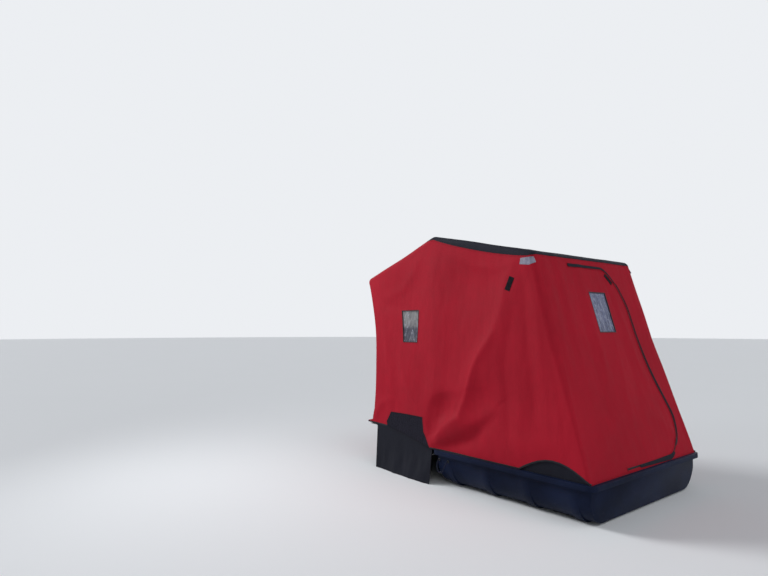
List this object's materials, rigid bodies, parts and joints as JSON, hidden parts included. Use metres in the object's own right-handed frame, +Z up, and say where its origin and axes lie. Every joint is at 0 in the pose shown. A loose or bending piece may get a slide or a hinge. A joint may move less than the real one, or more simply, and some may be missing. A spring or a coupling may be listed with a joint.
{
  "type": "flip-over ice fishing hut",
  "caption": "Two-person ice fishing hut: a red insulated fabric cover over folding hoops on a moulded sled, with a zipped door flap in the rear wall and clear windows.",
  "frame": {"origin": "middle of the bounding box, on the ground", "axes": "+Z up, +X across the sled, +Y from the wall with the door towards the fishing side"},
  "size_m": [1.5508, 2.345, 1.982],
  "materials": {
    "sled_plastic": "low-sheen moulded polyethylene, scuffed",
    "rope": "braided rope",
    "bracket_steel": "powder coat",
    "bolt_steel": "zinc plated",
    "pole_steel": "powder coat",
    "elbow_plastic": "moulded nylon",
    "window_vinyl": "clear vinyl, clouded and wrinkled",
    "black_cloth": "woven polyester",
    "red_cloth": "quilted woven polyester",
    "zip_tape": "zip tape and coil",
    "webbing": "webbing",
    "reflective_cloth": "reflective cloth"
  },
  "bodies": {
    "hut": {"sled_tub": "sled_plastic", "tow_rope_left": "rope", "tow_rope_right": "rope", "pivot_bracket_left": "bracket_steel", "pivot_bracket_right": "bracket_steel", "pivot_bolts": "bolt_steel", "rear_hoop_sleeves": "pole_steel", "rear_hoop": "pole_steel", "top_hoop_sleeves": "pole_steel", "top_hoop": "pole_steel", "front_hoop_sleeves": "pole_steel", "front_hoop": "pole_steel", "base_hoop": "pole_steel", "hoop_elbows": "elbow_plastic", "roof_panel": "black_cloth", "front_slope_panel": "red_cloth", "front_wall": "red_cloth", "side_wall_left": "red_cloth", "side_wall_right": "red_cloth", "rear_wall_left": "red_cloth", "rear_wall_right": "red_cloth", "rear_wall_top": "red_cloth", "rear_sill": "black_cloth", "rear_wall_zip": "zip_tape", "side_pull_tabs": "webbing", "reflective_patches": "reflective_cloth", "side_window_left": "window_vinyl", "side_window_right": "window_vinyl", "front_window_left": "window_vinyl", "front_window_right": "window_vinyl", "side_gusset_left": "black_cloth", "side_gusset_right": "black_cloth", "side_flap_left": "black_cloth", "side_flap_right": "black_cloth", "side_skirt_left": "black_cloth", "side_skirt_right": "black_cloth", "front_skirt": "black_cloth"},
    "door": {"rear_door": "red_cloth", "rear_door_window": "window_vinyl", "rear_door_zip": "zip_tape", "door_pull_tab": "webbing"}
  },
  "joints": [
    {"name": "door_hinge", "type": "hinge", "parent": "hut", "child": "door", "pos_m": [-0.28, -1.1425, 0.27], "axis": [0, -0.2852, -0.9585], "range_deg": [0, 100]}
  ]
}
